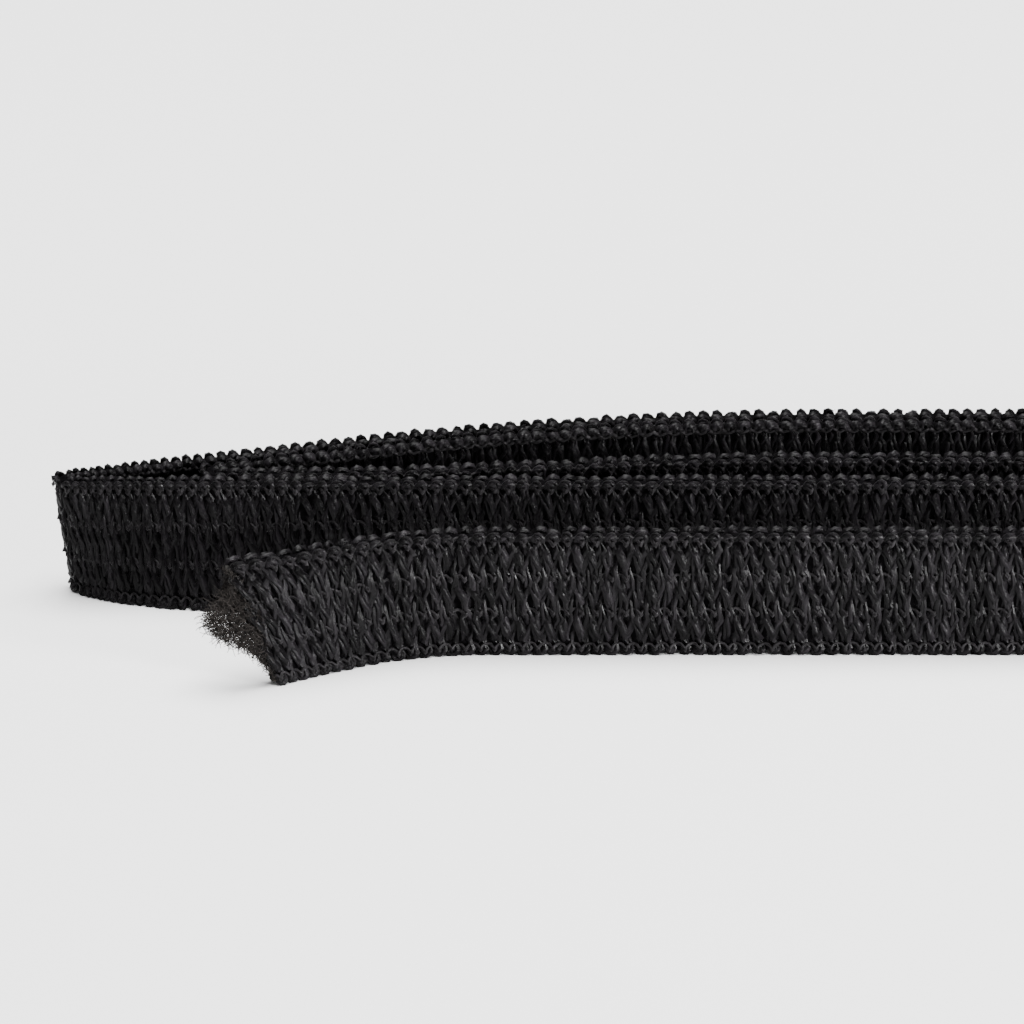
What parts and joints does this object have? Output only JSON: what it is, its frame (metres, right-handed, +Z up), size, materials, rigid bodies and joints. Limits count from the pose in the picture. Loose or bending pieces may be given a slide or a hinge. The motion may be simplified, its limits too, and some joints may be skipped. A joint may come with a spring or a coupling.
{
  "type": "hank of elastic tape",
  "caption": "Flat oval hank of narrow black knitted elastic tape standing on its edge, with its cut end lying loose in front.",
  "frame": {"origin": "centre of the bounding box, on the surface that the hank stands on", "axes": "+X along the hank, away from the tight folds; +Y from the loose end towards the rear; +Z up, across the width of the tape"},
  "size_m": [0.109, 0.0208, 0.006],
  "materials": {
    "front_weft": "black textured polyester yarn",
    "back_weft": "black textured polyester yarn",
    "wale_chain": "black polyester binding yarn",
    "rubber_thread": "dark cut rubber thread"
  },
  "bodies": {
    "root": {"front_weft": "front_weft", "back_weft": "back_weft", "wale_chain_1": "wale_chain", "wale_chain_2": "wale_chain", "wale_chain_3": "wale_chain", "wale_chain_4": "wale_chain", "rubber_thread_1": "rubber_thread", "rubber_thread_2": "rubber_thread", "rubber_thread_3": "rubber_thread", "rubber_thread_4": "rubber_thread"}
  },
  "joints": []
}
